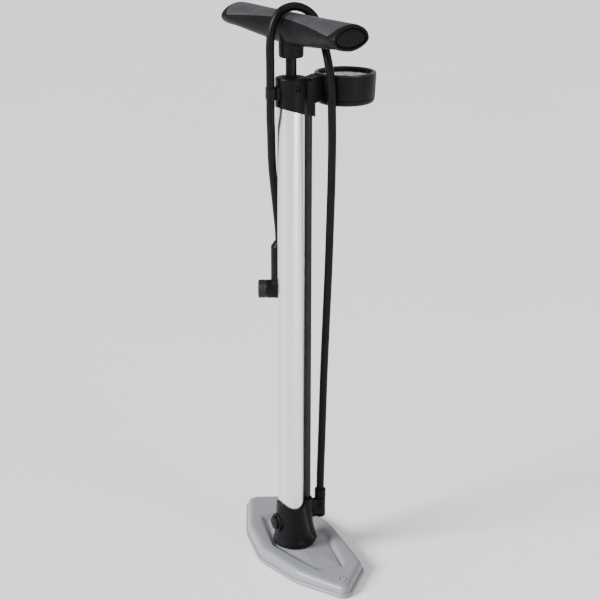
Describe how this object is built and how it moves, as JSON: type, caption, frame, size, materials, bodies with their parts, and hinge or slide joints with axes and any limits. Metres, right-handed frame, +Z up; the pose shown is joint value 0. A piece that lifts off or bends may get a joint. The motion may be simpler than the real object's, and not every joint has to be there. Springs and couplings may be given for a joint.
{
  "type": "floor bike pump",
  "caption": "Floor pump: a winged moulded foot, a straight alloy barrel, a T handle, a dial gauge on a side arm and a hose parked over the handle with its head hanging by the barrel.",
  "frame": {"origin": "on the floor under the barrel's axis, in the foot's flat underside", "axes": "+Z up the barrel, X along the foot's wings, +Y towards the gauge, the air tube and the hose outlet, -Y towards the valve plug and the hose clip"},
  "size_m": [0.2573, 0.1431, 0.6529],
  "materials": {
    "silver_plastic": "satin silver-grey moulding",
    "black_plastic": "fine matt",
    "grip_rubber": "soft matt",
    "aluminium": "satin anodised",
    "steel": "bright zinc",
    "black_steel": "black, smooth",
    "rubber": "satin",
    "brass": "as cut",
    "dial_face": "satin white",
    "red_paint": "satin",
    "clear_plastic": "clear, polished"
  },
  "bodies": {
    "pump": {"air_tube_channel": "black_plastic", "barrel": "aluminium", "barrel_head": "black_plastic", "barrel_socket": "black_plastic", "base_screw_1": "steel", "base_screw_2": "steel", "base_screw_3": "steel", "base_screw_4": "steel", "base_shell": "silver_plastic", "base_sole": "silver_plastic", "bourdon_tube": "brass", "check_valve_spring": "steel", "chuck_body": "black_plastic", "gauge_air_tube": "black_plastic", "gauge_back": "black_plastic", "gauge_bezel": "black_plastic", "gauge_case": "black_plastic", "gauge_dial": "dial_face", "gauge_lens": "clear_plastic", "gauge_stem": "brass", "head_screw_1": "steel", "head_screw_2": "steel", "hose": "rubber", "hose_nut": "black_plastic", "lever_pin": "steel", "movement_back_plate": "brass", "movement_front_plate": "brass", "movement_pillar_1": "brass", "movement_pillar_2": "brass", "nozzle_nut": "grip_rubber", "rebound_ring": "rubber", "rod_bushing": "black_plastic", "rod_wiper": "rubber", "socket_seal": "rubber", "valve_grommet": "rubber", "valve_plug": "black_plastic"},
    "handle_and_rod": {"handle_body": "black_plastic", "handle_grip": "grip_rubber", "handle_end_cap_1": "black_plastic", "handle_end_cap_2": "black_plastic", "handle_bolt": "steel", "piston_rod": "black_steel", "piston": "black_plastic", "cup_seal": "rubber", "piston_washer": "steel", "piston_nut": "steel"},
    "needle": {"gauge_needle": "red_paint", "needle_arbor": "brass"},
    "sector": {"sector_gear": "brass"},
    "valve_ball": {"check_valve_ball": "steel"},
    "lever": {"chuck_lever": "black_plastic"},
    "plunger": {"valve_plunger": "black_plastic"}
  },
  "joints": [
    {"name": "pump_stroke", "type": "slide", "parent": "pump", "child": "handle_and_rod", "axis": [0, 0, 1], "range_m": [0, 0.45], "deforming": ["hose"]},
    {"name": "sector_turn", "type": "hinge", "parent": "pump", "child": "sector", "pos_m": [0, 0.0809, 0.564], "axis": [0, 0, 1], "range_deg": [0, 46.5], "stiffness_Nm_per_rad": 0.001},
    {"name": "needle_turn", "type": "hinge", "parent": "pump", "child": "needle", "pos_m": [0, 0.0669, 0.5708], "axis": [0, 0, -1], "range_deg": [0, 270]},
    {"name": "valve_lift", "type": "slide", "parent": "pump", "child": "valve_ball", "axis": [0, 1, 0], "range_m": [0, 0.0015], "stiffness_N_per_m": 30, "springref_m": -0.001},
    {"name": "lever_turn", "type": "hinge", "parent": "pump", "child": "lever", "pos_m": [-0.01995, 0.00844, 0.3285], "axis": [-0.8829, 0.4695, 0], "range_deg": [0, 90]},
    {"name": "plunger_press", "type": "slide", "parent": "pump", "child": "plunger", "axis": [-0.4695, -0.8829, 0], "range_m": [0, 0.002]}
  ],
  "couplings": [
    {"joint": "needle_turn", "follows": "sector_turn", "ratio": 5.8},
    {"joint": "plunger_press", "follows": "lever_turn", "m_per_rad": 0.00127}
  ]
}
